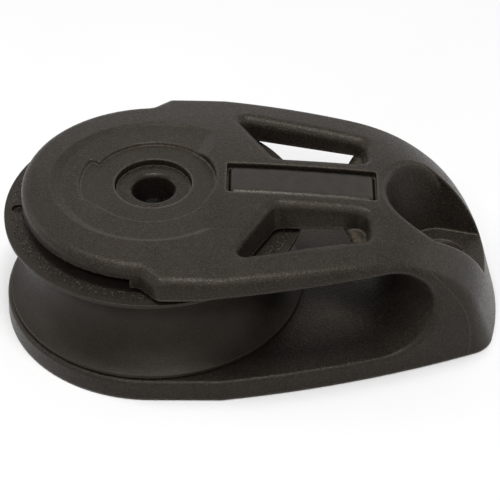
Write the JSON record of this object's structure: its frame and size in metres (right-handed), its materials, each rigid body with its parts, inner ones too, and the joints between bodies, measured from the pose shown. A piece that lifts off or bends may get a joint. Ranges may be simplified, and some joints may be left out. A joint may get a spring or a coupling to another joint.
{
  "type": "foot block",
  "caption": "Deck mounted turning block: a moulded housing with a round nose and a raised heel holds a grooved sheave that turns on a hollow axle; bolts pass through the axle and the heel.",
  "frame": {"origin": "axle line at the deck face of the housing", "axes": "+Z away from the deck along the axle, +X from the axle towards the heel screw, +Y to the left when looking from axle to heel"},
  "size_m": [0.1008, 0.062, 0.0315],
  "materials": {
    "housing_plastic": "satin moulded",
    "label_face": "glossy domed",
    "sheave_plastic": "satin turned",
    "bearing_plastic": "plain",
    "axle_steel": "turned",
    "bush_plastic": "satin moulded"
  },
  "bodies": {
    "block": {"housing": "housing_plastic", "label": "label_face", "axle_tube": "axle_steel", "upper_bush": "bush_plastic", "lower_bush": "bush_plastic"},
    "sheave": {"sheave": "sheave_plastic", "bearing_sleeve": "bearing_plastic"}
  },
  "joints": [
    {"name": "sheave_spin", "type": "hinge", "parent": "block", "child": "sheave", "pos_m": [0, 0, 0.0146], "axis": [0, 0, 1], "continuous": true}
  ]
}
